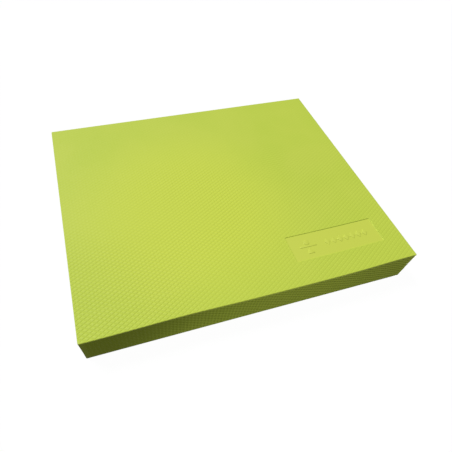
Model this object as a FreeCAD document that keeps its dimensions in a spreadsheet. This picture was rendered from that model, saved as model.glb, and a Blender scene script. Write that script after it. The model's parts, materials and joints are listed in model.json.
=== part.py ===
import FreeCAD, Part
import Sketcher
import os

# Balance pad: a thick slab of soft closed-cell foam to stand on.
# Four equal foam layers are stacked and bonded between a top skin and a bottom
# skin, and a band of the same skin goes round the four edges.
#
# Frame: millimetres, +Z up. The origin is the centre of the underside, +X runs
# along the long side, and the long side with the sunk panel faces -Y.

DOC = FreeCAD.newDocument("balance_pad")
SHEET = DOC.addObject("Spreadsheet::Sheet", "Sizes")

SIZES = {
    "pad_length": 500,         # along X
    "pad_width": 410,          # along Y
    "pad_height": 60,          # along Z
    "corner_radius": 1.8,      # upright corners
    "top_edge_radius": 1.3,    # rolled edge of the top skin
    "bottom_edge_radius": 1,
    "skin_thickness": 3,       # top and bottom skins
    "band_thickness": 2.5,     # skin round the four edges
    "bond_thickness": 0.3,     # adhesive film between two sheets
    "panel_length": 150,       # smooth panel sunk into the top skin
    "panel_width": 45,
    "panel_depth": 0.9,
    "panel_corner_radius": 1.5,
    "panel_right_margin": 34,  # from the panel to the +X edge
    "panel_front_margin": 38,  # from the panel to the -Y edge
    "mark_height": 0.5,        # raised marks on the panel's floor
    "board_length": 28,        # seesaw sign: a ball above a board above a wedge
    "board_width": 3,
    "wedge_size": 11,
    "ball_radius": 4.5,
    "sign_gap": 0.8,           # between the board and the ball or the wedge
    "sign_offset": 46,         # sign's centre, to the left of the panel's centre
    "diamond_length": 9.6,     # row of diamonds beside the sign
    "diamond_width": 12,
    "diamond_pitch": 11,
    "diamond_offset": 13,      # first diamond's centre, to the left of the panel's centre
}
LAYER_COUNT = 4
BOND_COUNT = LAYER_COUNT + 1
DIAMOND_COUNT = 7

# Lengths worked out from the sheet.
CORE_LENGTH = "Sizes.pad_length - 2 * Sizes.band_thickness"
CORE_WIDTH = "Sizes.pad_width - 2 * Sizes.band_thickness"
BAND_HEIGHT = "Sizes.pad_height - 2 * Sizes.skin_thickness"
LAYER_THICKNESS = f"({BAND_HEIGHT} - {BOND_COUNT} * Sizes.bond_thickness) / {LAYER_COUNT}"
PANEL_X = "Sizes.pad_length / 2 - Sizes.panel_right_margin - Sizes.panel_length / 2"
PANEL_Y = "-(Sizes.pad_width / 2 - Sizes.panel_front_margin - Sizes.panel_width / 2)"
PANEL_FLOOR = "Sizes.skin_thickness - Sizes.panel_depth"

# What Sketcher calls a sketch's own axes and origin, and the points of a line or a circle.
X_AXIS = -1
Y_AXIS = -2
ORIGIN = (-1, 1)
START, END, CENTRE = 1, 2, 3
DRAFT_SIZE = 10.0              # any dimension's value until the sheet's expression sets it
TINY = 1e-6


def fill_sheet():
    for row, (alias, value) in enumerate(SIZES.items(), start=1):
        SHEET.set(f"A{row}", alias)
        SHEET.set(f"B{row}", str(value))
        SHEET.setAlias(f"B{row}", alias)
    DOC.recompute()


def new_body(name, base_z):
    """A body whose own origin plane lies at base_z, an expression, above the underside."""
    body = DOC.addObject("PartDesign::Body", name)
    body.Label = name
    body.setExpression("Placement.Base.z", base_z)
    return body


def new_sketch(body, name, x="0", y="0", z="0"):
    """A sketch parallel to the body's XY plane with its origin at x, y, z."""
    sketch = body.newObject("Sketcher::SketchObject", f"{body.Label}_{name}")
    plane = next(f for f in body.Origin.OriginFeatures if f.Role == "XY_Plane")
    sketch.AttachmentSupport = [(plane, "")]
    sketch.MapMode = "FlatFace"
    for axis, value in (("x", x), ("y", y), ("z", z)):
        if value != "0":
            sketch.setExpression(f"AttachmentOffset.Base.{axis}", value)
    return sketch


def constrain(sketch, expression, *constraint):
    """Adds a dimension and binds it to the sheet."""
    index = sketch.addConstraint(Sketcher.Constraint(*constraint, DRAFT_SIZE))
    sketch.setExpression(f"Constraints[{index}]", expression)


def closed_outline(sketch, corners):
    """Straight lines from corner to corner and back to the first; returns their indices."""
    points = [FreeCAD.Vector(x, y, 0) for x, y in corners]
    lines = [
        sketch.addGeometry(Part.LineSegment(a, b), False)
        for a, b in zip(points, points[1:] + points[:1])
    ]
    for line, following in zip(lines, lines[1:] + lines[:1]):
        sketch.addConstraint(Sketcher.Constraint("Coincident", line, END, following, START))
    return lines


def rectangle(sketch, length, width):
    """A rectangle centred on the sketch's origin, length along X and width along Y."""
    lines = closed_outline(sketch, [(-9, -5), (9, -5), (9, 5), (-9, 5)])
    front, right, back, left = lines
    for line in (front, back):
        sketch.addConstraint(Sketcher.Constraint("Horizontal", line))
    for line in (right, left):
        sketch.addConstraint(Sketcher.Constraint("Vertical", line))
    sketch.addConstraint(Sketcher.Constraint("Symmetric", front, START, back, START, *ORIGIN))
    constrain(sketch, length, "DistanceX", front, START, front, END)
    constrain(sketch, width, "DistanceY", right, START, right, END)


def triangle(sketch, size):
    """An upright isosceles triangle as wide as it is high, with its tip on the origin."""
    base, right, left = closed_outline(sketch, [(-6, -12), (6, -12), (0, 0)])
    sketch.addConstraint(Sketcher.Constraint("Horizontal", base))
    sketch.addConstraint(Sketcher.Constraint("Coincident", right, END, *ORIGIN))
    sketch.addConstraint(Sketcher.Constraint("Equal", right, left))
    constrain(sketch, size, "DistanceX", base, START, base, END)
    constrain(sketch, size, "DistanceY", base, END, *ORIGIN)


def diamond(sketch, length, width):
    """A rhombus centred on the sketch's origin, its corners on the sketch's axes."""
    lines = closed_outline(sketch, [(-5, 0), (0, -6), (5, 0), (0, 6)])
    left, front, right, back = lines
    sketch.addConstraint(Sketcher.Constraint("Symmetric", left, START, right, START, *ORIGIN))
    sketch.addConstraint(Sketcher.Constraint("Symmetric", front, START, back, START, *ORIGIN))
    sketch.addConstraint(Sketcher.Constraint("PointOnObject", right, START, X_AXIS))
    sketch.addConstraint(Sketcher.Constraint("PointOnObject", back, START, Y_AXIS))
    constrain(sketch, length, "DistanceX", left, START, right, START)
    constrain(sketch, width, "DistanceY", front, START, back, START)


def circle(sketch, radius):
    """A circle about the sketch's origin."""
    index = sketch.addGeometry(Part.Circle(FreeCAD.Vector(), FreeCAD.Vector(0, 0, 1), 5), False)
    sketch.addConstraint(Sketcher.Constraint("Coincident", index, CENTRE, *ORIGIN))
    constrain(sketch, radius, "Radius", index)


def pad(body, sketch, length):
    feature = body.newObject("PartDesign::Pad", f"{sketch.Label}_pad")
    feature.Profile = sketch
    feature.setExpression("Length", length)
    DOC.recompute()
    return feature


def pocket(body, sketch, length):
    """Cuts downwards from the sketch, and stops if nothing was cut."""
    before = body.Shape.Volume
    feature = body.newObject("PartDesign::Pocket", f"{sketch.Label}_pocket")
    feature.Profile = sketch
    feature.setExpression("Length", length)
    DOC.recompute()
    if body.Shape.Volume >= before:
        raise RuntimeError(f"{feature.Label} cut nothing")
    return feature


def fillet(body, name, base, chosen, radius):
    """Rounds the edges of the feature base for which chosen(edge) is true."""
    edges = [f"Edge{i}" for i, e in enumerate(base.Shape.Edges, start=1) if chosen(e)]
    if not edges:
        raise RuntimeError(f"{body.Label}: no edge to round for {name}")
    feature = body.newObject("PartDesign::Fillet", f"{body.Label}_{name}")
    feature.Base = (base, edges)
    feature.setExpression("Radius", radius)
    DOC.recompute()
    return feature


def is_upright(edge):
    return abs(edge.BoundBox.ZLength - edge.Length) < TINY


def is_level_at(edge, z):
    """Whether the edge lies level at height z above the body's own origin."""
    box = edge.BoundBox
    return abs(box.ZMin - z) < TINY and abs(box.ZMax - z) < TINY


def slab(name, base_z, length, width, thickness):
    """A body that is one plain rectangular sheet."""
    body = new_body(name, base_z)
    sketch = new_sketch(body, "outline")
    rectangle(sketch, length, width)
    return body, pad(body, sketch, thickness)


def foam_layer(number):
    """One soft foam sheet of the core; number counts from 1 at the bottom."""
    below = f"{number} * Sizes.bond_thickness + {number - 1} * {LAYER_THICKNESS}"
    body, _ = slab(f"foam_layer_{number}", f"Sizes.skin_thickness + {below}",
                   CORE_LENGTH, CORE_WIDTH, LAYER_THICKNESS)
    return body


def bond_film(number):
    """The adhesive film under foam layer number, or under the top skin for the last one."""
    below = f"{number - 1} * (Sizes.bond_thickness + {LAYER_THICKNESS})"
    body, _ = slab(f"bond_film_{number}", f"Sizes.skin_thickness + {below}",
                   CORE_LENGTH, CORE_WIDTH, "Sizes.bond_thickness")
    return body


def edge_band():
    """The skin round the four edges, between the two outer skins."""
    body = new_body("edge_band", "Sizes.skin_thickness")
    sketch = new_sketch(body, "outline")
    rectangle(sketch, "Sizes.pad_length", "Sizes.pad_width")
    rectangle(sketch, CORE_LENGTH, CORE_WIDTH)
    ring = pad(body, sketch, BAND_HEIGHT)
    outer = SIZES["pad_length"] / 2
    fillet(body, "corners", ring,
           lambda e: is_upright(e) and abs(e.CenterOfMass.x) > outer - TINY,
           "Sizes.corner_radius")
    return body


def bottom_skin():
    """The lower skin, which the pad rests on."""
    body, sheet = slab("bottom_skin", "0", "Sizes.pad_length", "Sizes.pad_width",
                       "Sizes.skin_thickness")
    corners = fillet(body, "corners", sheet, is_upright, "Sizes.corner_radius")
    fillet(body, "edge", corners, lambda e: is_level_at(e, 0), "Sizes.bottom_edge_radius")
    return body


def top_skin():
    """The standing surface, with its rolled edge and the sunk panel that carries the marks."""
    body, sheet = slab("top_skin", "Sizes.pad_height - Sizes.skin_thickness",
                       "Sizes.pad_length", "Sizes.pad_width", "Sizes.skin_thickness")
    corners = fillet(body, "corners", sheet, is_upright, "Sizes.corner_radius")
    surface = SIZES["skin_thickness"]
    fillet(body, "rim", corners, lambda e: is_level_at(e, surface), "Sizes.top_edge_radius")
    panel = new_sketch(body, "panel", PANEL_X, PANEL_Y, "Sizes.skin_thickness")
    rectangle(panel, "Sizes.panel_length", "Sizes.panel_width")
    recess = pocket(body, panel, "Sizes.panel_depth")
    fillet(body, "panel_corners", recess, is_panel_corner, "Sizes.panel_corner_radius")
    add_marks(body)
    return body


def is_panel_corner(edge):
    """An upright edge no nearer to the pad's +X edge than the panel is."""
    reach = SIZES["pad_length"] / 2 - SIZES["panel_right_margin"]
    return is_upright(edge) and abs(edge.CenterOfMass.x) < reach + TINY


def add_marks(body):
    """Raised plain marks on the panel's floor: a seesaw sign and a row of diamonds."""
    sign_x = f"{PANEL_X} - Sizes.sign_offset"
    board = new_sketch(body, "board", sign_x, PANEL_Y, PANEL_FLOOR)
    rectangle(board, "Sizes.board_length", "Sizes.board_width")
    pad(body, board, "Sizes.mark_height")
    wedge_y = f"{PANEL_Y} - Sizes.board_width / 2 - Sizes.sign_gap"
    wedge = new_sketch(body, "wedge", sign_x, wedge_y, PANEL_FLOOR)
    triangle(wedge, "Sizes.wedge_size")
    pad(body, wedge, "Sizes.mark_height")
    ball_y = f"{PANEL_Y} + Sizes.board_width / 2 + Sizes.sign_gap + Sizes.ball_radius"
    ball = new_sketch(body, "ball", sign_x, ball_y, PANEL_FLOOR)
    circle(ball, "Sizes.ball_radius")
    pad(body, ball, "Sizes.mark_height")
    first = new_sketch(body, "diamond", f"{PANEL_X} - Sizes.diamond_offset", PANEL_Y, PANEL_FLOOR)
    diamond(first, "Sizes.diamond_length", "Sizes.diamond_width")
    row_of(body, pad(body, first, "Sizes.mark_height"), first)


def row_of(body, feature, sketch):
    """Repeats the feature along +X, DIAMOND_COUNT in all."""
    before = body.Shape.Volume
    pattern = body.newObject("PartDesign::LinearPattern", f"{feature.Label}_row")
    pattern.Originals = [feature]
    pattern.Direction = (sketch, ["H_Axis"])
    pattern.Occurrences = DIAMOND_COUNT
    pattern.setExpression("Length", f"{DIAMOND_COUNT - 1} * Sizes.diamond_pitch")
    body.Tip = pattern
    DOC.recompute()
    if body.Shape.Volume <= before:
        raise RuntimeError(f"{pattern.Label} repeated nothing")


def check_document():
    for item in DOC.Objects:
        if "Invalid" in item.State or "Error" in item.State:
            raise RuntimeError(f"{item.Label} failed: {item.State}")


def export(body):
    shape = body.Shape
    if shape.isNull() or not shape.isValid():
        raise RuntimeError(f"{body.Label} has no valid shape")
    shape.exportStep(os.path.join("parts", f"{body.Label}.step"))
    print(body.Label, len(shape.Solids), round(shape.Volume), shape.BoundBox)


fill_sheet()
pieces = [bottom_skin(), edge_band(), top_skin()]
pieces += [foam_layer(number) for number in range(1, LAYER_COUNT + 1)]
pieces += [bond_film(number) for number in range(1, BOND_COUNT + 1)]
DOC.recompute()
check_document()
os.makedirs("parts", exist_ok=True)
for piece in pieces:
    export(piece)
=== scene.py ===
import json
import math
import bmesh
import bpy
import numpy as np
from mathutils import Matrix, Vector
from mathutils.geometry import delaunay_2d_cdt


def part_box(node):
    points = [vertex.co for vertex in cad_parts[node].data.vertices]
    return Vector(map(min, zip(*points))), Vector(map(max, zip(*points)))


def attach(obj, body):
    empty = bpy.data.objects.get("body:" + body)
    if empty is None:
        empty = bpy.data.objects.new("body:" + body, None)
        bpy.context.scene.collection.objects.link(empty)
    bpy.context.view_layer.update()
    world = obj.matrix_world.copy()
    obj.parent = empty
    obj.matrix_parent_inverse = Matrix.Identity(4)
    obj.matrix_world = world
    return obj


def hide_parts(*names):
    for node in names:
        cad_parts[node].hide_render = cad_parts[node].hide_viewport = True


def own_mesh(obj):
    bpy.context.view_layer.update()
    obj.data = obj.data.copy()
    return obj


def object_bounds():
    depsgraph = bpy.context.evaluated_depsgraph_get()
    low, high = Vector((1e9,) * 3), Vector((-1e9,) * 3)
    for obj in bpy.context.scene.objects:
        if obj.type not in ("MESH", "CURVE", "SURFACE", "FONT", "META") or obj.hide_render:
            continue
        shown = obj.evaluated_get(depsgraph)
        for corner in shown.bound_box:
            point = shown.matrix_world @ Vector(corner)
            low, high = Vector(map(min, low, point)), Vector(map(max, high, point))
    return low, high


# A balance pad: an embossed foam skin all round a bonded stack of foam sheets.
# Lengths are metres, in the CAD model's own frame.

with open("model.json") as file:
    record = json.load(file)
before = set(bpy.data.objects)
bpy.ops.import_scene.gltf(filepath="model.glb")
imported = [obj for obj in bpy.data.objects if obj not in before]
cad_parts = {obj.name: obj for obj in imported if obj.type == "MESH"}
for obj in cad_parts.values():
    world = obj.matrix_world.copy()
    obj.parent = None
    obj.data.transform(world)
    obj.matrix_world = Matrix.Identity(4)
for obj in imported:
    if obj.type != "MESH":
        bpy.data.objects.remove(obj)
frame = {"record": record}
CAD_LOW, CAD_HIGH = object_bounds()

MM = 0.001
HALF_LENGTH = CAD_HIGH.x
HALF_WIDTH = CAD_HIGH.y
HEIGHT = CAD_HIGH.z
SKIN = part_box("bottom_skin")[1].z
BAND = HALF_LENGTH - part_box("foam_layer_1")[1].x
CORNER_RADIUS = 1.8 * MM
TOP_RIM = 1.3 * MM
BOTTOM_RIM = 1.0 * MM
SEAM = 0.2 * MM                 # bevel beside the seams between band and skins
SHARP_EDGE = 62                 # degrees between faces, from which their edge looks sharp

# The emboss: diamonds with their long diagonal along the pad, and V grooves between them.
DIAMOND_LENGTH = 10.12 * MM
DIAMOND_WIDTH = 5.84 * MM
GROOVE_DEPTH = 0.42 * MM
WALL_GROOVE_DEPTH = 0.65 * MM   # the band was pressed harder
CELLS = 4                       # mesh cells along each diagonal of a diamond
CORNER_FADE = 5 * MM            # the emboss dies out this close to an upright corner

# The top's emboss gets shallower away from its front left corner, and again to the back.
EASE = 0.42
EASE_FROM = 100 * MM            # beginning this far from the corner
EASE_REACH = 110 * MM           # and done over this distance
BACK_EASE = 0.3
BACK_REACH = 0.6 * HALF_WIDTH   # from the middle of the top towards the back

# A patch of the top was pressed hardest: it is deeper embossed. Its paler colour is painted light,
# a pool of light on the top.
PATCH_PRESS = 0.3
PATCH_POWER = 4                 # the deeper emboss is gathered in the middle of the painted pool of light
PATCH_PAINTED_LIGHT = 0.85               # how far the patch takes on the colour of the painted pool of light
PATCH_X = -65 * MM
PATCH_Y = -35 * MM
PATCH_FROM = 60 * MM            # the patch is whole this close to its middle
PATCH_REACH = 170 * MM          # and fades over this distance

# The sunk panel, as in the CAD model.
PANEL_LENGTH = 150 * MM
PANEL_WIDTH = 45 * MM
PANEL_DEPTH = 0.9 * MM
PANEL_X = HALF_LENGTH - 34 * MM - PANEL_LENGTH / 2
PANEL_Y = -(HALF_WIDTH - 38 * MM - PANEL_WIDTH / 2)
PANEL_CORNER = 1.5 * MM
PANEL_WALL = 0.65 * MM          # how far the panel's sloping wall reaches in plan
PANEL_WALL_OUT = 0.3            # the share of it that lies outside the panel's outline
PANEL_WALL_LINES = (-0.3, -0.1, 0.2, 0.5, 0.7)  # mesh lines on it, in shares inwards
PANEL_MARGIN = 1.5 * MM         # the emboss stops this far outside the panel
PANEL_TINT_FROM = 0.4 * MM      # its colour begins this far inside
PANEL_TINT_REACH = 1 * MM

# The marks that stand up from the panel's floor, as in the CAD model.
MARK_HEIGHT = 0.5 * MM
MARK_FOOT = 0.2 * MM            # hollow rounding where a mark meets the floor
MARK_CROWN = 0.25 * MM          # rounding of a mark's upper edge
MARK_CORNER = 0.5 * MM          # rounding of a mark's corners in plan
SIGN_X = PANEL_X - 46 * MM      # a seesaw sign: a ball above a board above a wedge
BOARD_LENGTH = 28 * MM
BOARD_WIDTH = 3 * MM
WEDGE_SIZE = 11 * MM
BALL_RADIUS = 4.5 * MM
SIGN_GAP = 0.8 * MM
ROW_X = PANEL_X - 13 * MM       # centre of the first of a row of diamonds
ROW_COUNT = 7
ROW_PITCH = 11 * MM
ROW_LENGTH = 9.6 * MM
ROW_WIDTH = 12 * MM

# The foam's slow unevenness, which the whole pad shares.
TOP_SAG = 0.45 * MM
WALL_WAVER = 0.3 * MM
FRONT_LEAN = 2.3 * MM           # the front leans out this far towards its upper edge
# The front's upper edge is drawn in twice along its length: middle, half width and how far.
FRONT_HOLLOWS = ((-112 * MM, 70 * MM, 1.6 * MM), (240 * MM, 70 * MM, 2.6 * MM))

# The core's sheets of cut foam, and the glue between them.
LAYER_COUNT = 4
FILM_COUNT = LAYER_COUNT + 1
SHEET_CELL = 9 * MM             # mesh cell of a core sheet
CUT_ROUND = 0.3 * MM
CUT_HOLLOW = 0.5 * MM           # the cut edge of a foam sheet pulls in between its faces
CUT_SHORT = 0.8 * MM            # and wavers up to this far inside the core's edge
CUT_WAVE = 0.4                  # the cut's waves against the whole pad's
SKIVE = 0.06 * MM               # the sliced faces are this uneven
SKIVE_WAVE = 0.2                # in waves of this length against the whole pad's
GLUE_SHORT = 5 * MM             # the glue stops up to this far inside the core's edge
GLUE_SKIVE = 0.05 * MM


# ---------------------------------------------------------------- shapes

def smooth_step(share):
    """0 below 0 and 1 above 1, with a smooth rise between."""
    share = np.clip(share, 0, 1)
    return share * share * (3 - 2 * share)


def waves(x, y, seed, scale=1.0):
    """A slow wave field between 0 and 1 over positions in metres."""
    random = np.random.default_rng(seed)
    total = np.zeros(np.broadcast(x, y).shape)
    wavelengths = (0.62, 0.41, 0.27, 0.17)
    for wavelength in wavelengths:
        turn, phase = random.uniform(0, 2 * math.pi, 2)
        along = (x * math.cos(turn) + y * math.sin(turn)) / (wavelength * scale)
        total = total + np.sin(2 * math.pi * along + phase) * wavelength
    return 0.5 + 0.5 * total / sum(wavelengths)


def uneven(points):
    """The pad's slightly uneven shape, from points on its ideal one. It only ever shrinks."""
    x, y, z = points.T
    hollow = np.sin(math.pi * z / HEIGHT)
    in_x = WALL_WAVER * (waves(y, z, 3) + hollow) / 2
    in_y = WALL_WAVER * (waves(x, z, 5) + hollow) / 2
    up = z / HEIGHT
    drawn_in = FRONT_LEAN * (1 - up)
    for middle, half_width, depth in FRONT_HOLLOWS:
        drawn_in = drawn_in + depth * np.exp(-((x - middle) / half_width) ** 2) * smooth_step(up)
    in_y = in_y + np.where(y < 0, drawn_in, 0)
    in_top_skin = np.clip((z - (HEIGHT - SKIN)) / SKIN, 0, 1)
    return np.column_stack([
        x * (1 - in_x / HALF_LENGTH),
        y * (1 - in_y / HALF_WIDTH),
        z - in_top_skin * TOP_SAG * waves(x, y, 7),
    ])


def even_lines(low, high, pitch, cells=CELLS):
    """Evenly spaced mesh lines from low to high, cells to each pitch as nearly as fits."""
    return np.linspace(low, high, round((high - low) / pitch * cells) + 1)


def groove(i, j):
    """How deep in a groove a point is, 0 to 1, at i and j mesh cells along and across."""
    def share(t):
        return np.clip(1 - CELLS * np.abs(t - np.round(t)), 0, 1)
    return np.maximum(share((j - i) / CELLS), share((j + i) / CELLS))


def without_loose(points, faces, *values):
    """The same mesh with the points that no face uses left out."""
    used = np.unique(np.concatenate([np.asarray(face) for face in faces]))
    new_index = np.full(len(points), -1)
    new_index[used] = np.arange(len(used))
    kept = [tuple(new_index[list(face)].tolist()) for face in faces]
    return points[used], kept, *[value[used] for value in values]


def new_piece(name, points, faces, body, slot, **attributes):
    """A mesh object that rides on body. Each attribute is one number per point."""
    mesh = bpy.data.meshes.new(name)
    mesh.from_pydata(uneven(np.asarray(points)), [], faces)
    mesh.set_sharp_from_angle(angle=math.radians(SHARP_EDGE))
    grooved = attributes.get("groove", np.zeros(len(points))) > 0
    rounded_off = [not any(grooved[v] for v in face) for face in faces]
    mesh.polygons.foreach_set("use_smooth", rounded_off)
    for key, values in attributes.items():
        layer = mesh.attributes.new(key, "FLOAT", "POINT")
        layer.data.foreach_set("value", np.asarray(values, np.float32))
    piece = bpy.data.objects.new(name, mesh)
    bpy.context.scene.collection.objects.link(piece)
    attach(piece, body)
    return piece


def grid_faces(true_middle, heights, wanted):
    """Two triangles for each wanted cell, cut along the diagonal nearer to the true middle."""
    rows, columns = heights.shape
    index = np.arange(rows * columns).reshape(rows, columns)
    a, b = index[:-1, :-1], index[:-1, 1:]
    d, c = index[1:, :-1], index[1:, 1:]
    rising = (heights[:-1, :-1] + heights[1:, 1:]) / 2
    falling = (heights[:-1, 1:] + heights[1:, :-1]) / 2
    use_rising = (np.abs(rising - true_middle) <= np.abs(falling - true_middle))[..., None]
    first = np.where(use_rising, np.stack([a, b, c], -1), np.stack([a, b, d], -1))
    second = np.where(use_rising, np.stack([a, c, d], -1), np.stack([b, c, d], -1))
    return np.concatenate([first[wanted], second[wanted]])


def around(index):
    """The indices round the edge of a grid of indices, anticlockwise from its first corner."""
    return np.concatenate([index[0, :-1], index[:-1, -1], index[-1, :0:-1], index[:0:-1, 0]])


def stitch(high, low, parents=None):
    """Faces down from one closed ring of indices to another. With parents, several of low share
    one of high."""
    faces = []
    for k, start in enumerate(low):
        after = (k + 1) % len(low)
        high_a = high[k] if parents is None else high[parents[k]]
        high_b = high[after] if parents is None else high[parents[after]]
        if high_a == high_b:
            faces.append((high_a, start, low[after]))
        else:
            faces.append((high_a, start, low[after], high_b))
    return faces


def embossed_slab(xs, ys, sink, emboss, wanted, rim, turns=4):
    """A closed slab as thick as a skin, whose embossed face is a grid over xs and ys.

    sink(x, y) lowers the face, emboss(x, y) is how deep in a groove a point is, and
    wanted(x, y) is false where the face is left open.
    Returns points with the face at height SKIN, faces, groove shares and the face's indices."""
    x, y = np.meshgrid(xs, ys)
    marks = emboss(x, y)
    drop = sink(x, y) + GROOVE_DEPTH * marks
    mid_x = (x[:-1, :-1] + x[1:, 1:]) / 2
    mid_y = (y[:-1, :-1] + y[1:, 1:]) / 2
    middle = sink(mid_x, mid_y) + GROOVE_DEPTH * emboss(mid_x, mid_y)
    points = [np.stack([x, y, SKIN - drop], -1).reshape(-1, 3)]
    shares = [marks.ravel()]
    faces = [tuple(f) for f in grid_faces(middle, drop, wanted(mid_x, mid_y)).tolist()]

    index = np.arange(x.size).reshape(x.shape)
    above = around(index)
    base, out, parents, at_corner = rim_frames(points[0][above], CORNER_RADIUS - rim, turns)
    level = x.size
    profile = [(math.pi / 2 * k / turns, 0.0, 0.0) for k in range(1, turns + 1)]
    profile += [(math.pi / 2, SKIN - rim - SEAM, 0.0), (math.pi / 2, SKIN - rim, SEAM)]
    for step, (angle, fall, inset) in enumerate(profile):
        reach = rim * angle
        spread = np.where(at_corner, 0, np.clip(1 - angle / (math.pi / 2), 0, 1))
        share = emboss(base[:, 0] + out[:, 0] * reach, base[:, 1] + out[:, 1] * reach) * spread
        radius = rim - GROOVE_DEPTH * share
        flat = base + out * (radius * math.sin(angle) - inset)[:, None]
        height = SKIN - rim + radius * math.cos(angle) - fall
        ring = np.arange(level, level + len(base))
        points.append(np.column_stack([flat, height]))
        shares.append(share)
        faces += stitch(above, ring, parents if step == 0 else None)
        above = ring
        level += len(base)
    faces.append(tuple(above[::-1].tolist()))
    return np.concatenate(points), faces, np.concatenate(shares), index


def rim_frames(edge, tip, turns):
    """Where each column of a rim starts and which way it faces.

    edge is the ring of points round the face, from its first corner, and tip the radius of the
    face's own corners. Returns plan positions, outward directions, each column's place in the
    ring, and which columns are at a corner."""
    base, out, parents, at_corner = [], [], [], []
    side = -1
    half = np.abs(edge[0, :2])
    for k, point in enumerate(edge):
        if np.allclose(np.abs(point[:2]), half):
            side += 1
            centre = point[:2] - tip * np.sign(point[:2])
            for turn in range(turns + 1):
                angle = math.pi / 2 * (side - 2 + turn / turns)
                way = np.array([math.cos(angle), math.sin(angle)])
                base.append(centre + tip * way)
                out.append(way)
                parents.append(k)
                at_corner.append(True)
            continue
        angle = math.pi / 2 * (side - 1)
        base.append(point[:2])
        out.append(np.array([math.cos(angle), math.sin(angle)]))
        parents.append(k)
        at_corner.append(False)
    return np.array(base), np.array(out), parents, np.array(at_corner)


def pressed(x, y):
    """How deep the top's emboss is, as a share of its depth at the front left corner."""
    from_corner = np.hypot(x + HALF_LENGTH, y + HALF_WIDTH)
    away = smooth_step((from_corner - EASE_FROM) / EASE_REACH)
    eased = EASE * away + BACK_EASE * smooth_step(y / BACK_REACH)
    return 1 - eased + PATCH_PRESS * in_patch(x, y) ** PATCH_POWER


def in_patch(x, y):
    """How far a point is in the patch that was pressed hardest and carries the painted pool of
    light, 0 to 1.
    """
    from_middle = np.hypot(x - PATCH_X, y - PATCH_Y)
    return 1 - smooth_step((from_middle - PATCH_FROM) / PATCH_REACH)


def to_nearest_corner(x, y):
    """How far a point is from the nearest upright corner, in plan."""
    return np.hypot(HALF_LENGTH - np.abs(x), HALF_WIDTH - np.abs(y))


def panel_inside(x, y):
    """How far inside the panel's rounded outline a point is; less than 0 outside it."""
    across = np.abs(x - PANEL_X) - (PANEL_LENGTH / 2 - PANEL_CORNER)
    along = np.abs(y - PANEL_Y) - (PANEL_WIDTH / 2 - PANEL_CORNER)
    outside = np.hypot(np.maximum(across, 0), np.maximum(along, 0))
    inside = np.minimum(np.maximum(across, along), 0)
    return PANEL_CORNER - outside - inside


def panel_sink(x, y):
    """The sunk panel: a smooth floor and steep walls with small roundings."""
    return PANEL_DEPTH * smooth_step(panel_inside(x, y) / PANEL_WALL + PANEL_WALL_OUT)


def with_panel_lines(lines, middle, length):
    """Adds mesh lines close to both edges of the panel, where its walls bend."""
    on_wall = PANEL_WALL * np.array(PANEL_WALL_LINES)
    steps = np.concatenate([[-1.5 * MM], on_wall, [1.0 * MM, 1.5 * MM]])
    extra = np.concatenate([middle - length / 2 + steps, middle + length / 2 - steps])
    away = np.min(np.abs(lines[:, None] - extra[None, :]), axis=1) > 0.25 * MM
    away[[0, -1]] = True
    return np.sort(np.concatenate([lines[away], extra]))


def skin_slab(rim, panel):
    """The top or bottom skin with its embossed face upwards, open at the panel's floor if it has
    one."""
    half_x, half_y = HALF_LENGTH - rim, HALF_WIDTH - rim
    xs = even_lines(-half_x, half_x, DIAMOND_LENGTH)
    ys = even_lines(-half_y, half_y, DIAMOND_WIDTH)
    step_x, step_y = xs[1] - xs[0], ys[1] - ys[0]

    def emboss(x, y):
        share = groove((x + half_x) / step_x, (y + half_y) / step_y)
        share = share * smooth_step(to_nearest_corner(x, y) / CORNER_FADE - 0.5)
        if panel:
            share = share * smooth_step(-panel_inside(x, y) / PANEL_MARGIN - 0.2)
            share = share * pressed(x, y)
        return share

    def sink(x, y):
        return panel_sink(x, y) if panel else np.zeros_like(x)

    def wanted(x, y):
        return panel_inside(x, y) < PANEL_CORNER if panel else np.full(x.shape, True)

    if panel:
        xs = with_panel_lines(xs, PANEL_X, PANEL_LENGTH)
        ys = with_panel_lines(ys, PANEL_Y, PANEL_WIDTH)
    return embossed_slab(xs, ys, sink, emboss, wanted, rim)


# ---------------------------------------------------------------- marks on the panel

def rounded(corners, steps=6):
    """A convex outline with rounded corners, given anticlockwise: the centre of the rounding and
    the outward direction for each of its points."""
    corners = np.array(corners, float)
    centres, ways = [], []
    for before, corner, after in zip(np.roll(corners, 1, 0), corners, np.roll(corners, -1, 0)):
        start = outward_angle(before, corner)
        turn = (outward_angle(corner, after) - start) % (2 * math.pi)
        inwards = MARK_CORNER / math.cos(turn / 2)
        middle = start + turn / 2
        centre = corner - inwards * np.array([math.cos(middle), math.sin(middle)])
        for step in range(steps + 1):
            angle = start + turn * step / steps
            centres.append(centre)
            ways.append([math.cos(angle), math.sin(angle)])
    return np.array(centres), np.array(ways), MARK_CORNER


def outward_angle(start, end):
    """The direction out of an anticlockwise outline, across its edge from start to end."""
    return math.atan2(end[1] - start[1], end[0] - start[0]) - math.pi / 2


def ball_outline(steps=36):
    """The sign's ball, above the board, in the form that rounded returns."""
    angles = np.arange(steps) * 2 * math.pi / steps
    ways = np.column_stack([np.cos(angles), np.sin(angles)])
    centre = [SIGN_X, PANEL_Y + BOARD_WIDTH / 2 + SIGN_GAP + BALL_RADIUS]
    return np.tile(centre, (steps, 1)), ways, BALL_RADIUS


def board_outline():
    """The sign's board, across its middle."""
    half_x, half_y = BOARD_LENGTH / 2, BOARD_WIDTH / 2
    return rounded([(SIGN_X - half_x, PANEL_Y - half_y), (SIGN_X + half_x, PANEL_Y - half_y),
                    (SIGN_X + half_x, PANEL_Y + half_y), (SIGN_X - half_x, PANEL_Y + half_y)])


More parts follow.
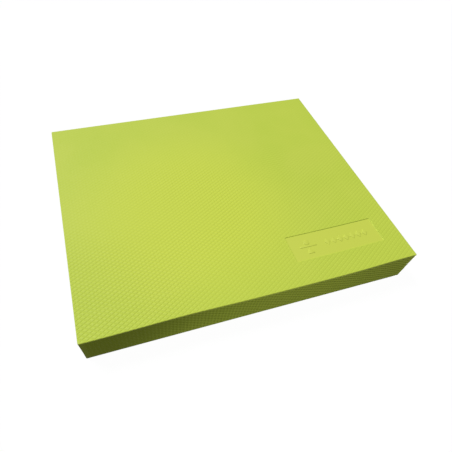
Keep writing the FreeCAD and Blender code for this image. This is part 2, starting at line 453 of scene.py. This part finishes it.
def wedge_outline():
    """The wedge that the board rocks on."""
    tip = PANEL_Y - BOARD_WIDTH / 2 - SIGN_GAP
    foot = tip - WEDGE_SIZE
    return rounded([(SIGN_X - WEDGE_SIZE / 2, foot), (SIGN_X + WEDGE_SIZE / 2, foot),
                    (SIGN_X, tip)])


def diamond_outline(number):
    """One diamond of the row beside the sign."""
    x = ROW_X + number * ROW_PITCH
    half_x, half_y = ROW_LENGTH / 2, ROW_WIDTH / 2
    return rounded([(x - half_x, PANEL_Y), (x, PANEL_Y - half_y),
                    (x + half_x, PANEL_Y), (x, PANEL_Y + half_y)])


def mark_profile(turns=3):
    """From the floor up to a mark's flat top: how far outside its outline, and how high."""
    angles = [math.pi / 2 * k / turns for k in range(turns + 1)]
    foot = [(MARK_FOOT * (1 - math.sin(a)), MARK_FOOT * (1 - math.cos(a))) for a in angles]
    crown = [(MARK_CROWN * (math.cos(a) - 1), MARK_HEIGHT - MARK_CROWN * (1 - math.sin(a)))
             for a in angles]
    return [(1.5 * MARK_FOOT, 0.0)] + foot + crown


def add_panel_floor(points, faces, shares, edge):
    """Fills the face's opening, whose edge is a ring of indices, with the floor and its marks."""
    marks = [ball_outline(), board_outline(), wedge_outline()]
    marks += [diamond_outline(number) for number in range(ROW_COUNT)]
    floor_z = SKIN - PANEL_DEPTH
    points, faces = [points], list(faces)
    level = len(points[0])
    loops = [edge]
    for centres, ways, radius in marks:
        above = None
        for outset, rise in mark_profile():
            flat = centres + ways * (radius + outset)
            ring = np.arange(level, level + len(flat))
            points.append(np.column_stack([flat, np.full(len(flat), floor_z + rise)]))
            level += len(flat)
            if above is None:
                loops.append(ring)
            else:
                faces += stitch(ring, above)
            above = ring
        faces.append(tuple(above.tolist()))
    points = np.concatenate(points)
    faces += fill_between(points, loops)
    return points, faces, np.concatenate([shares, np.zeros(len(points) - len(shares))])


def fill_between(points, loops):
    """Upward triangles inside the first ring of indices and outside the others, none of which
    bends inwards."""
    index = np.concatenate(loops)
    owner = np.concatenate([np.full(len(loop), k) for k, loop in enumerate(loops)])
    flat = [Vector(p) for p in points[index, :2]]
    edges, start = [], 0
    for loop in loops:
        edges += [(start + k, start + (k + 1) % len(loop)) for k in range(len(loop))]
        start += len(loop)
    inside = 1
    _, _, triangles, sources, _, _ = delaunay_2d_cdt(flat, edges, [], inside, 1e-9)
    faces = []
    for triangle in triangles:
        corners = [sources[corner][0] for corner in triangle]
        owners = {int(owner[corner]) for corner in corners}
        if len(owners) > 1 or owners == {0}:
            faces.append(tuple(index[corners].tolist()))
    return faces


# ---------------------------------------------------------------- the skins

def top_skin():
    """The standing surface, with the sunk panel and its marks."""
    points, faces, shares, index = skin_slab(TOP_RIM, True)
    grid = points[index]
    floor = panel_inside(grid[..., 0], grid[..., 1]) > PANEL_CORNER - 0.01 * MM
    rows, columns = np.flatnonzero(floor.any(1)), np.flatnonzero(floor.any(0))
    opening = index[rows[0]:rows[-1] + 1, columns[0]:columns[-1] + 1]
    points, faces, shares = add_panel_floor(points, faces, shares, around(opening))
    points, faces, shares = without_loose(points, faces, shares)
    x, y, _ = points.T
    flat = smooth_step((panel_inside(x, y) - PANEL_TINT_FROM) / PANEL_TINT_REACH)
    piece = new_piece("embossed_top_skin", points + [0, 0, HEIGHT - SKIN], faces, "deck",
                      "embossed_skin", groove=shares, panel=flat, patch=in_patch(x, y))
    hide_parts("top_skin")
    return piece


def bottom_skin():
    """The skin on the floor: the top's turned over, with no panel and an even emboss."""
    points, faces, shares, _ = skin_slab(BOTTOM_RIM, False)
    points = np.column_stack([points[:, 0], points[:, 1], SKIN - points[:, 2]])
    faces = [tuple(reversed(face)) for face in faces]
    piece = new_piece("embossed_bottom_skin", points, faces, "base", "grip_skin",
                      groove=shares, panel=np.zeros(len(points)), patch=np.zeros(len(points)))
    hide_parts("bottom_skin")
    return piece


def band_columns():
    """The edge band's columns: plan position, outward direction, cell number along its side, and
    how strong the emboss is there."""
    base, out, cell, strength = [], [], [], []
    sides = [((0, -1), HALF_LENGTH, HALF_WIDTH), ((1, 0), HALF_WIDTH, HALF_LENGTH),
             ((0, 1), HALF_LENGTH, HALF_WIDTH), ((-1, 0), HALF_WIDTH, HALF_LENGTH)]
    for number, (way, half_side, reach) in enumerate(sides):
        way = np.array(way, float)
        ahead = np.array([-way[1], way[0]])
        straight = half_side - CORNER_RADIUS
        run = even_lines(-straight, straight, DIAMOND_LENGTH)
        for k, along in enumerate(run):
            base.append(way * reach + ahead * along)
            out.append(way)
            cell.append(k)
            strength.append((half_side - abs(along)) / CORNER_FADE - 0.5)
        centre = way * (reach - CORNER_RADIUS) + ahead * straight
        for turn in (1, 2, 3):
            angle = math.pi / 2 * (number - 1 + turn / 4)
            arc = np.array([math.cos(angle), math.sin(angle)])
            base.append(centre + arc * CORNER_RADIUS)
            out.append(arc)
            cell.append(0)
            strength.append(0)
    return np.array(base), np.array(out), np.array(cell), smooth_step(np.array(strength))


def edge_band():
    """The skin round the four walls, embossed on its outside."""
    base, out, cell, strength = band_columns()
    low, high = SKIN, HEIGHT - SKIN
    rows = even_lines(low + SEAM, high - SEAM, DIAMOND_WIDTH)
    i, j = np.meshgrid(cell, np.arange(len(rows)))
    shares = groove(i, j) * strength
    middle = groove(i[:-1, :] + 0.5, j[:-1, :] + 0.5) * strength
    points = [wall_ring(base, out, -SEAM, low)]
    for row, height in zip(shares, rows):
        points.append(wall_ring(base, out, -WALL_GROOVE_DEPTH * row[:, None], height))
    points += [wall_ring(base, out, -SEAM, high), wall_ring(base, out, -BAND, high),
               wall_ring(base, out, -BAND, low)]
    count = len(base)
    flat = np.zeros(count)
    all_shares = np.concatenate([flat, shares.ravel(), flat, flat, flat])
    none = np.zeros(len(all_shares))
    wrapped = np.column_stack([shares, shares[:, :1]])
    faces = wall_faces(wrapped, middle, count)
    rings = [np.arange(k * count, (k + 1) * count) for k in range(len(rows) + 4)]
    for lower, upper in ((0, 1), (-4, -3), (-3, -2), (-2, -1), (-1, 0)):
        faces += stitch(rings[upper], rings[lower])
    piece = new_piece("embossed_edge_band", np.concatenate(points), faces, "base", "side_skin",
                      groove=all_shares, panel=none, patch=none)
    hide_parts("edge_band")
    return piece


def wall_ring(base, out, outset, height):
    """One level of the band's points, all moved out by outset."""
    return np.column_stack([base + out * outset, np.full(len(base), height)])


def wall_faces(heights, middle, count):
    """Triangles of the embossed wall, whose first row of points comes after one bevel ring."""
    grid = grid_faces(middle, heights, np.full(middle.shape, True))
    row, column = np.divmod(grid, count + 1)
    return [tuple(f) for f in ((row + 1) * count + column % count).tolist()]


# ---------------------------------------------------------------- the core

def cut_edge(low, high, hollow):
    """Down the cut edge of a sheet: how far outside its flat faces, and how high."""
    rounding = min(CUT_ROUND, 0.4 * (high - low))
    upper = [(rounding * math.cos(angle), high - rounding * (1 - math.sin(angle)))
             for angle in (math.pi / 3, math.pi / 6, 0)]
    lower = [(outset, low + high - height) for outset, height in reversed(upper)]
    if not hollow:
        return upper + lower
    straight = high - low - 2 * rounding
    middle = [(rounding - hollow * math.sin(math.pi * share), high - rounding - straight * share)
              for share in (0.25, 0.5, 0.75)]
    return upper + middle + lower


def core_sheet(name, node, slot, seed, short, hollow, skive):
    """A closed sheet with soft cut edges, in the space of a CAD node. short is how far at most
    its edges stay inside the node's, hollow how far they pull in, and skive how uneven its
    faces are."""
    low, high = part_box(node)
    inset = CUT_ROUND + short / 2
    xs = even_lines(low.x + inset, high.x - inset, SHEET_CELL, 1)
    ys = even_lines(low.y + inset, high.y - inset, SHEET_CELL, 1)
    x, y = np.meshgrid(xs, ys)
    index = np.arange(x.size).reshape(x.shape)
    edge = around(index)
    out = np.column_stack([np.where(np.isclose(np.abs(x), high.x - inset), np.sign(x), 0).ravel(),
                           np.where(np.isclose(np.abs(y), high.y - inset), np.sign(y), 0).ravel()])
    x, y, out = x.ravel(), y.ravel(), out[edge]
    x, y = (x * (1 - short / 2 / high.x * waves(y, 0 * y, seed, CUT_WAVE)),
            y * (1 - short / 2 / high.y * waves(x, 0 * x, seed + 1, CUT_WAVE)))
    sliced = skive * waves(x, y, seed + 2, SKIVE_WAVE)
    points = [np.column_stack([x, y, high.z - sliced]), np.column_stack([x, y, low.z + sliced])]
    cells = np.stack([index[:-1, :-1], index[:-1, 1:], index[1:, 1:], index[1:, :-1]], -1)
    faces = cells.reshape(-1, 4).tolist()
    faces += [[v + x.size for v in reversed(face)] for face in faces]
    above, level = edge, 2 * x.size
    for outset, height in cut_edge(low.z, high.z, hollow):
        flat = np.column_stack([x, y])[edge] + out * outset
        points.append(np.column_stack([flat, np.full(len(edge), height)]))
        ring = np.arange(level, level + len(edge))
        faces += stitch(above, ring)
        above = ring
        level += len(edge)
    faces += stitch(above, edge + x.size)
    piece = new_piece(name, np.concatenate(points), faces, body_of(node), slot)
    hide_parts(node)
    return piece


def body_of(node):
    """The moving body that a CAD node belongs to."""
    bodies = frame["record"]["behaviour"]["bodies"]
    return next(body for body, nodes in bodies.items() if node in nodes)


def give_way(piece):
    """Gives the piece its own copy of its mesh."""
    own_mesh(piece)


# ---------------------------------------------------------------- materials

LIME_DEEP = (0.373, 0.465, 0.035)
LIME_PALE = (0.395, 0.475, 0.042)
LIME_PAINTED_LIGHT_POOL = (0.454, 0.521, 0.037)    # painted pool of light on the patch that was pressed hardest
PANEL_LIME = (0.428, 0.486, 0.050)      # the skin is pressed smooth and looks yellower there
# darker lime for the grain's speckle and for the painted shade in the emboss grooves
SPECKLE_AND_GROOVE_SHADE_LIME = (0.340, 0.430, 0.026)
# darker foam colour: its deeper tone, and painted shade in the cut cells' hollows
CORE_DEEP_TONE_AND_HOLLOW_SHADE = (0.330, 0.440, 0.060)
CORE_PALE = (0.480, 0.580, 0.110)
GLUE_CLEAR = (0.62, 0.60, 0.36)
GLUE_MILKY = (0.80, 0.79, 0.60)

# Sizes of what shows on each surface, and how high each stands out of it.
SKIN_CLOUD = 90 * MM
SKIN_GRAIN = 0.9 * MM
SKIN_CELL = 0.7 * MM
SKIN_BUMP = 0.035 * MM
CORE_CLOUD = 60 * MM
CORE_CELL = 1.3 * MM
CORE_FINE_CELL = 0.5 * MM
CORE_BUMP = 0.3 * MM
GLUE_STREAK = 12 * MM
GLUE_BEAD = 2.2 * MM
GLUE_BUMP = 0.08 * MM


def new_material(name, specular):
    """A material, its node tree and its shader."""
    material = bpy.data.materials.new(name)
    material.use_nodes = True
    shader = material.node_tree.nodes["Principled BSDF"]
    shader.inputs["Specular IOR Level"].default_value = specular
    return material, material.node_tree, shader


def add_node(tree, kind, inputs, **settings):
    """A node with its settings made, and each input given a value or linked to a socket."""
    node = tree.nodes.new(kind)
    for key, value in settings.items():
        setattr(node, key, value)
    for key, value in inputs.items():
        if isinstance(value, bpy.types.NodeSocket):
            tree.links.new(value, node.inputs[key])
        else:
            node.inputs[key].default_value = value
    return node


def place_in_object(tree):
    """The socket that gives a point's place in its own piece."""
    return tree.nodes.new("ShaderNodeTexCoord").outputs["Object"]


def noise(tree, size, detail=2.0, stretch=(1, 1, 1)):
    """A noise between about 0.3 and 0.7 whose features are about size across."""
    vector = place_in_object(tree)
    if stretch != (1, 1, 1):
        vector = add_node(tree, "ShaderNodeMapping",
                          {"Vector": vector, "Scale": stretch}).outputs[0]
    return add_node(tree, "ShaderNodeTexNoise",
                    {"Vector": vector, "Scale": 1 / size, "Detail": detail}).outputs["Fac"]


def foam_cells(tree, size, stretch=(1, 1, 1)):
    """0 at the middle of each foam cell and about 1 at the walls between them."""
    vector = add_node(tree, "ShaderNodeMapping",
                      {"Vector": place_in_object(tree), "Scale": stretch}).outputs[0]
    return add_node(tree, "ShaderNodeTexVoronoi",
                    {"Vector": vector, "Scale": 1 / size}).outputs["Distance"]


def spread(tree, value, low, high, from_low=0.0, from_high=1.0):
    """value moved from one range to another and kept inside it."""
    return add_node(tree, "ShaderNodeMapRange",
                    {"Value": value, "From Min": from_low, "From Max": from_high,
                     "To Min": low, "To Max": high}).outputs["Result"]


def between(tree, share, first, second):
    """A colour that goes from first to second as share goes from 0 to 1."""
    node = add_node(tree, "ShaderNodeMix", {"Factor": share}, data_type="RGBA")
    for socket, color in ((node.inputs[6], first), (node.inputs[7], second)):
        if isinstance(color, bpy.types.NodeSocket):
            tree.links.new(color, socket)
        else:
            socket.default_value = (*color, 1)
    return node.outputs[2]


def math_of(tree, operation, first, second):
    """The result of one sum on two numbers or sockets."""
    node = add_node(tree, "ShaderNodeMath", {}, operation=operation)
    for socket, value in zip(node.inputs, (first, second)):
        if isinstance(value, bpy.types.NodeSocket):
            tree.links.new(value, socket)
        else:
            socket.default_value = value
    return node.outputs[0]


def attribute(tree, name):
    """The socket that gives one of the mesh's own numbers."""
    return add_node(tree, "ShaderNodeAttribute", {}, attribute_name=name).outputs["Fac"]


def skin_material(name, specular):
    """Closed-cell foam skin: dyed through, with a fine cell grain that the panel's press has
    smoothed, and painted shade that darkens the emboss grooves."""
    material, tree, shader = new_material(name, specular)
    panel, grooved = attribute(tree, "panel"), attribute(tree, "groove")
    cloud = spread(tree, noise(tree, SKIN_CLOUD), 0, 1, 0.35, 0.65)
    grain = noise(tree, SKIN_GRAIN, 3)
    cells = foam_cells(tree, SKIN_CELL)
    color = between(tree, cloud, LIME_DEEP, LIME_PALE)
    # painted light: the top's patch is paler, a painted pool of light
    patch = spread(tree, attribute(tree, "patch"), 0, PATCH_PAINTED_LIGHT)
    color = between(tree, patch, color, LIME_PAINTED_LIGHT_POOL)
    color = between(tree, panel, color, PANEL_LIME)
    # painted shade: darker towards the bottoms of the emboss grooves
    color = between(tree, spread(tree, grooved, 0, 0.25), color, SPECKLE_AND_GROOVE_SHADE_LIME)
    speckle = math_of(tree, "MULTIPLY", spread(tree, grain, 0, 0.3, 0.45, 0.75),
                      spread(tree, panel, 1, 0.4))
    color = between(tree, speckle, color, SPECKLE_AND_GROOVE_SHADE_LIME)
    tree.links.new(color, shader.inputs["Base Color"])
    rough = math_of(tree, "SUBTRACT", spread(tree, grain, 0.6, 0.76, 0.3, 0.7),
                    spread(tree, panel, 0, 0.08))
    tree.links.new(rough, shader.inputs["Roughness"])
    height = math_of(tree, "ADD", math_of(tree, "MULTIPLY", cells, 0.6), grain)
    height = math_of(tree, "MULTIPLY", height, spread(tree, panel, 1, 0.35))
    bump = add_node(tree, "ShaderNodeBump", {"Height": height, "Distance": SKIN_BUMP})
    tree.links.new(bump.outputs["Normal"], shader.inputs["Normal"])
    shader.inputs["Sheen Weight"].default_value = 0.05
    shader.inputs["Sheen Roughness"].default_value = 0.5
    return material


def core_material():
    """Sliced foam: open cut cells, with painted shade that makes their hollows darker than their
    walls.
    """
    material, tree, shader = new_material("lime_foam_core", 0.25)
    cells = foam_cells(tree, CORE_CELL, (1, 1, 1.4))
    fine = foam_cells(tree, CORE_FINE_CELL)
    cloud = noise(tree, CORE_CLOUD)
    # painted shade: the cells' hollows darker than their walls
    share = math_of(tree, "MULTIPLY", spread(tree, cells, 0, 1, 0.1, 0.75),
                    spread(tree, cloud, 0.7, 1, 0.35, 0.65))
    tree.links.new(between(tree, share, CORE_DEEP_TONE_AND_HOLLOW_SHADE, CORE_PALE), shader.inputs["Base Color"])
    tree.links.new(spread(tree, fine, 0.72, 0.9), shader.inputs["Roughness"])
    height = math_of(tree, "ADD", cells, math_of(tree, "MULTIPLY", fine, 0.4))
    bump = add_node(tree, "ShaderNodeBump", {"Height": height, "Distance": CORE_BUMP})
    tree.links.new(bump.outputs["Normal"], shader.inputs["Normal"])
    return material


def glue_material():
    """Dried contact glue, rolled on along the pad: clear streaks, milky where it is thicker."""
    material, tree, shader = new_material("dried_contact_glue", 0.5)
    streaks = noise(tree, GLUE_STREAK, 4, (0.12, 1, 1))
    beads = foam_cells(tree, GLUE_BEAD)
    thick = math_of(tree, "MULTIPLY", spread(tree, streaks, 0, 1, 0.35, 0.65),
                    spread(tree, beads, 0.6, 1))
    tree.links.new(between(tree, thick, GLUE_CLEAR, GLUE_MILKY), shader.inputs["Base Color"])
    tree.links.new(spread(tree, thick, 0.28, 0.5), shader.inputs["Roughness"])
    bump = add_node(tree, "ShaderNodeBump", {"Height": thick, "Distance": GLUE_BUMP})
    tree.links.new(bump.outputs["Normal"], shader.inputs["Normal"])
    return material


# ---------------------------------------------------------------- the pieces

def make_pad():
    """All the pad's pieces, each with its material."""
    face, side = skin_material("lime_foam_skin", 0.5), skin_material("lime_foam_edge", 0.15)
    core, glue = core_material(), glue_material()
    top, bottom, band = top_skin(), bottom_skin(), edge_band()
    for piece, skin in ((top, face), (bottom, face), (band, side)):
        piece.data.materials.append(skin)
    give_way(band)
    for number in range(1, LAYER_COUNT + 1):
        node = f"foam_layer_{number}"
        sheet = core_sheet(f"cut_{node}", node, "foam_core", 10 * number,
                           CUT_SHORT, CUT_HOLLOW, SKIVE)
        sheet.data.materials.append(core)
        give_way(sheet)
    for number in range(1, FILM_COUNT + 1):
        node = f"bond_film_{number}"
        film = core_sheet(f"rolled_{node}", node, "adhesive_film", 10 * number + 5,
                          GLUE_SHORT, 0, GLUE_SKIVE)
        film.data.materials.append(glue)
        give_way(film)


# ---------------------------------------------------------------- stage

FLOOR_REACH = 12.0
BACKDROP_RADIUS = 20.0


def shine_white(material, shader, base, strength):
    """Makes a material glow white without lighting anything. base is its grey in the light."""
    shader.inputs["Base Color"].default_value = (base, base, base, 1)
    shader.inputs["Emission Color"].default_value = (1, 1, 1, 1)
    shader.inputs["Emission Strength"].default_value = strength
    material.cycles.emission_sampling = "NONE"


def add_floor():
    """A white floor that shows little shadow, and that can be looked through from below."""
    size = FLOOR_REACH
    mesh = bpy.data.meshes.new("floor")
    mesh.from_pydata([(-size, -size, 0), (size, -size, 0), (size, size, 0), (-size, size, 0)],
                     [], [(0, 1, 2, 3)])
    floor = bpy.data.objects.new("floor", mesh)
    bpy.context.scene.collection.objects.link(floor)
    floor.visible_diffuse = False
    floor.visible_glossy = False
    floor.visible_shadow = False
    material, tree, shader = new_material("floor", 0.0)
    shine_white(material, shader, 0.02, 0.98)
    shader.inputs["Roughness"].default_value = 1.0
    backs = tree.nodes.new("ShaderNodeNewGeometry").outputs["Backfacing"]
    clear = tree.nodes.new("ShaderNodeBsdfTransparent").outputs[0]
    mix = add_node(tree, "ShaderNodeMixShader", {0: backs, 1: shader.outputs[0], 2: clear})
    tree.links.new(mix.outputs[0], tree.nodes["Material Output"].inputs["Surface"])
    floor.data.materials.append(material)


def add_backdrop():
    """A white dome all round and far away, which lights nothing."""
    mesh = bpy.data.meshes.new("backdrop")
    shape = bmesh.new()
    bmesh.ops.create_icosphere(shape, subdivisions=4, radius=BACKDROP_RADIUS)
    shape.to_mesh(mesh)
    shape.free()
    dome = bpy.data.objects.new("backdrop", mesh)
    bpy.context.scene.collection.objects.link(dome)
    dome.visible_diffuse = False
    dome.visible_glossy = False
    dome.visible_transmission = False
    dome.visible_shadow = False
    material, _, shader = new_material("backdrop", 0.0)
    shine_white(material, shader, 0.0, 1.0)
    mesh.materials.append(material)


def add_light(name, kind, place, target, energy, **settings):
    """A light at place that points at target and isn't seen itself."""
    light = bpy.data.lights.new(name, kind)
    light.energy = energy
    for key, value in settings.items():
        setattr(light, key, value)
    holder = bpy.data.objects.new(name, light)
    bpy.context.scene.collection.objects.link(holder)
    holder.visible_camera = False
    holder.location = place
    holder.rotation_euler = (Vector(target) - Vector(place)).to_track_quat("-Z", "Y").to_euler()


def add_lights():
    """A key from behind on the left, and two lights from under the floor: its bounce on the front,
    and one for looks at the underside. Neither reaches the top."""
    add_light("key", "SUN", (-0.70, 0.71, 1.73), (0, 0, 0), 4.05, angle=math.radians(15))
    add_light("bounce", "SPOT", (-0.80, -0.75, -0.58), (0.08, -0.205, 0.03), 30.0,
              spot_size=math.radians(20), spot_blend=1.0, shadow_soft_size=0.05)
    add_light("underneath", "SPOT", (1.8, 0.0, -1.7), (0, 0, 0), 350.0,
              spot_size=math.radians(32), spot_blend=0.5, shadow_soft_size=0.15)


def add_world():
    """Dim light on the pad from all round."""
    world = bpy.data.worlds.new("world")
    bpy.context.scene.world = world
    world.use_nodes = True
    background = world.node_tree.nodes["Background"]
    background.inputs["Color"].default_value = (1, 1, 1, 1)
    background.inputs["Strength"].default_value = 0.19


def add_camera():
    """A look down on the pad from in front, left of its middle, held a little askew."""
    place = Vector((-0.1802, -0.3912, 0.5061))
    target = Vector((-0.0538, -0.0734, 0.0300))
    roll = math.radians(5.74)
    camera_data = bpy.data.cameras.new("camera")
    camera_data.lens = 29.50
    camera_data.sensor_width = 36
    camera_data.shift_x = 0.0605
    camera_data.shift_y = 0.0317
    camera = bpy.data.objects.new("camera", camera_data)
    bpy.context.scene.collection.objects.link(camera)
    turn = (target - place).to_track_quat("-Z", "Y").to_matrix().to_4x4()
    camera.matrix_world = Matrix.Translation(place) @ turn @ Matrix.Rotation(roll, 4, "Z")
    bpy.context.scene.camera = camera


make_pad()
add_floor()
add_backdrop()
add_lights()
add_world()
add_camera()
bpy.context.scene.view_settings.view_transform = "Standard"
